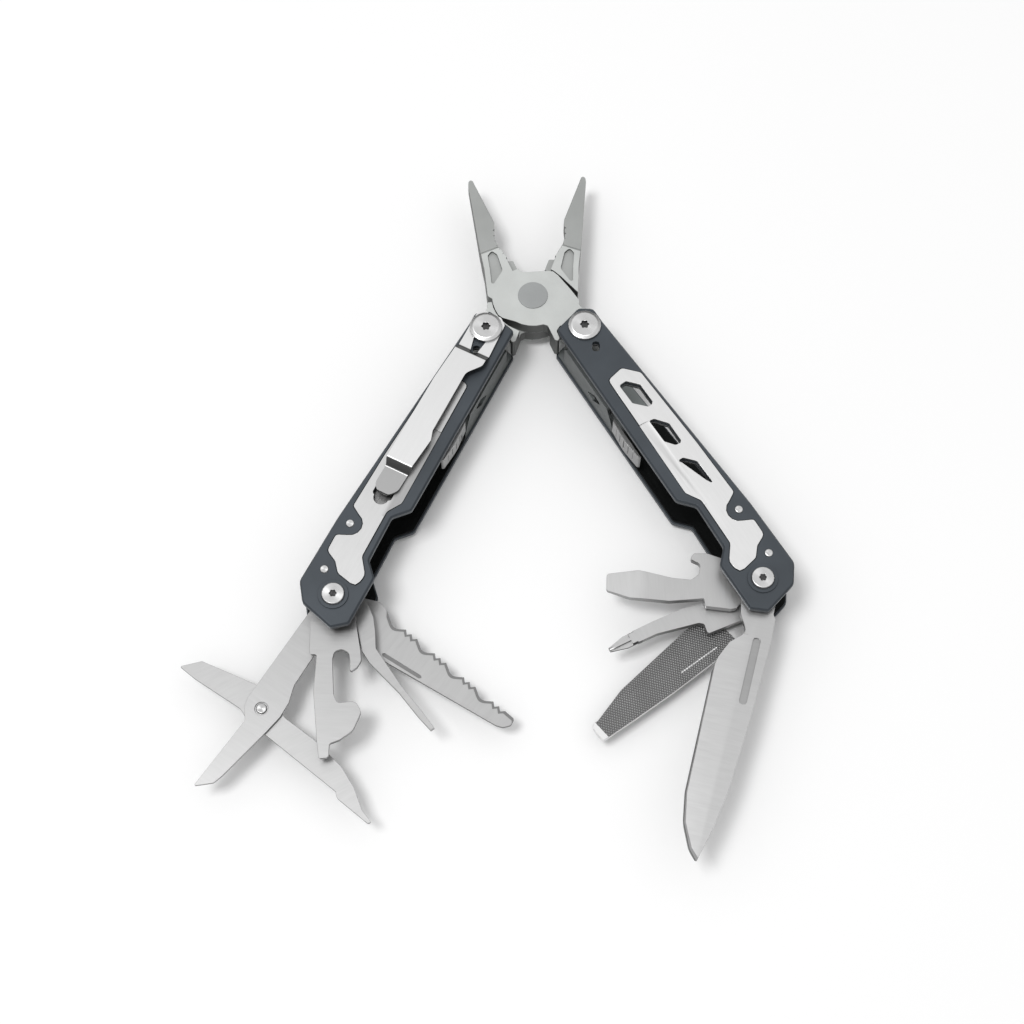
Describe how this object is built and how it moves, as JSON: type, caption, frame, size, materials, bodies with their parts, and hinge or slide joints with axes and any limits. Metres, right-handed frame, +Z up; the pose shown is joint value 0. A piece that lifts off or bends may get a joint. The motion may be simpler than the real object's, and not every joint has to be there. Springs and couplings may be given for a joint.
{
  "type": "folding plier multi tool",
  "caption": "Folding plier multi tool with splayed handles, needle-nose jaws, pocket clip and fanned-out fold-out blades and drivers.",
  "frame": {"origin": "bottom centre of the bounding box of the open tool lying on its side", "axes": "+Z up through the thickness of the tool, +Y from the handles' tool ends to the jaw tips, +X to the side of the handle that carries the knife"},
  "size_m": [0.157, 0.1968, 0.0209],
  "materials": {
    "jaw_steel": "bead blasted, fine matt grey",
    "dark_steel": "darker satin",
    "brushed_steel": "satin brushed",
    "file_steel": "cross cut file faces",
    "polished_steel": "polished",
    "handle_scale": "dark blue-grey anodised",
    "inlay": "bright satin"
  },
  "bodies": {
    "left_jaw": {"jaw_left": "jaw_steel", "jaw_rivet": "dark_steel"},
    "right_jaw": {"jaw_right": "jaw_steel"},
    "right_handle": {"scale_top_right": "handle_scale", "scale_bottom_right": "handle_scale", "inlay_top_right": "inlay", "inlay_bottom_right": "inlay", "liner_top_right": "brushed_steel", "liner_bottom_right": "dark_steel", "rivet_top_1_right": "polished_steel", "rivet_top_2_right": "polished_steel", "rivet_bottom_1_right": "polished_steel", "rivet_bottom_2_right": "polished_steel", "pivot_barrel_right": "polished_steel", "pivot_screw_right": "polished_steel", "stack_barrel_right": "polished_steel", "stack_screw_right": "polished_steel", "release_spring_right": "brushed_steel", "washer_right_1": "brushed_steel", "washer_right_2": "brushed_steel", "washer_right_3": "brushed_steel"},
    "left_handle": {"scale_top_left": "handle_scale", "scale_bottom_left": "handle_scale", "inlay_top_left": "inlay", "inlay_bottom_left": "inlay", "liner_top_left": "brushed_steel", "liner_bottom_left": "dark_steel", "rivet_top_1_left": "polished_steel", "rivet_top_2_left": "polished_steel", "rivet_bottom_1_left": "polished_steel", "rivet_bottom_2_left": "polished_steel", "pivot_barrel_left": "polished_steel", "pivot_screw_left": "polished_steel", "stack_barrel_left": "polished_steel", "stack_screw_left": "polished_steel", "release_spring_left": "brushed_steel", "pocket_clip": "polished_steel", "spacer_left_1": "brushed_steel", "spacer_left_2": "brushed_steel"},
    "can_opener": {"can_opener": "brushed_steel"},
    "small_driver": {"small_driver": "brushed_steel"},
    "scissors": {"scissors_blade": "brushed_steel", "scissors_rivet": "polished_steel"},
    "scissors_lever": {"scissors_lever_blade": "brushed_steel"},
    "serrated_blade": {"serrated_blade": "brushed_steel"},
    "knife": {"knife_blade": "brushed_steel"},
    "bottle_opener": {"bottle_opener": "brushed_steel"},
    "phillips_driver": {"phillips_driver": "brushed_steel"},
    "file": {"file": "file_steel"},
    "right_release": {"lock_release_right": "brushed_steel"},
    "left_release": {"lock_release_left": "brushed_steel"}
  },
  "joints": [
    {"name": "jaw_pivot", "type": "hinge", "parent": "left_jaw", "child": "right_jaw", "pos_m": [0.01557, 0.05956, 0.00805], "axis": [0, 0, 1], "range_deg": [-5, 37]},
    {"name": "right_handle_fold", "type": "hinge", "parent": "left_jaw", "child": "right_handle", "pos_m": [0.02881, 0.0464, 0.0095], "axis": [0, 0, 1], "range_deg": [0, 155]},
    {"name": "left_handle_fold", "type": "hinge", "parent": "right_jaw", "child": "left_handle", "pos_m": [0.00232, 0.0464, 0.0095], "axis": [0, 0, -1], "range_deg": [0, 155]},
    {"name": "can_opener_pivot", "type": "hinge", "parent": "left_handle", "child": "can_opener", "pos_m": [-0.03889, -0.02794, 0.01175], "axis": [0, 0, 1], "range_deg": [-23.7, 154.3]},
    {"name": "small_driver_pivot", "type": "hinge", "parent": "left_handle", "child": "small_driver", "pos_m": [-0.03889, -0.02794, 0.01015], "axis": [0, 0, 1], "range_deg": [-60.7, 114.3]},
    {"name": "scissors_pivot", "type": "hinge", "parent": "left_handle", "child": "scissors", "pos_m": [-0.03889, -0.02794, 0.0088], "axis": [0, 0, 1], "range_deg": [0, 183.8]},
    {"name": "scissors_lever", "type": "hinge", "parent": "scissors", "child": "scissors_lever", "pos_m": [-0.05772, -0.05455, 0.00835], "axis": [0, 0, 1], "range_deg": [0, 92]},
    {"name": "serrated_blade_pivot", "type": "hinge", "parent": "left_handle", "child": "serrated_blade", "pos_m": [-0.03889, -0.02794, 0.00655], "axis": [0, 0, 1], "range_deg": [-80.7, 91.3]},
    {"name": "knife_pivot", "type": "hinge", "parent": "right_handle", "child": "knife", "pos_m": [0.07002, -0.02794, 0.01385], "axis": [0, 0, -1], "range_deg": [-46.3, 131.2]},
    {"name": "bottle_opener_pivot", "type": "hinge", "parent": "right_handle", "child": "bottle_opener", "pos_m": [0.07002, -0.02794, 0.0111], "axis": [0, 0, -1], "range_deg": [-119.3, 56.7]},
    {"name": "phillips_pivot", "type": "hinge", "parent": "right_handle", "child": "phillips_driver", "pos_m": [0.07002, -0.02794, 0.0083], "axis": [0, 0, -1], "range_deg": [-94.3, 79.7]},
    {"name": "file_pivot", "type": "hinge", "parent": "right_handle", "child": "file", "pos_m": [0.07002, -0.02794, 0.0049], "axis": [0, 0, -1], "range_deg": [-79.3, 96.7]},
    {"name": "lock_release_right", "type": "slide", "parent": "right_handle", "child": "right_release", "axis": [0.8746, 0.4848, 0], "range_m": [0, 0.001], "stiffness_N_per_m": 400},
    {"name": "lock_release_left", "type": "slide", "parent": "left_handle", "child": "left_release", "axis": [-0.8746, 0.4848, 0], "range_m": [0, 0.001], "stiffness_N_per_m": 400}
  ]
}
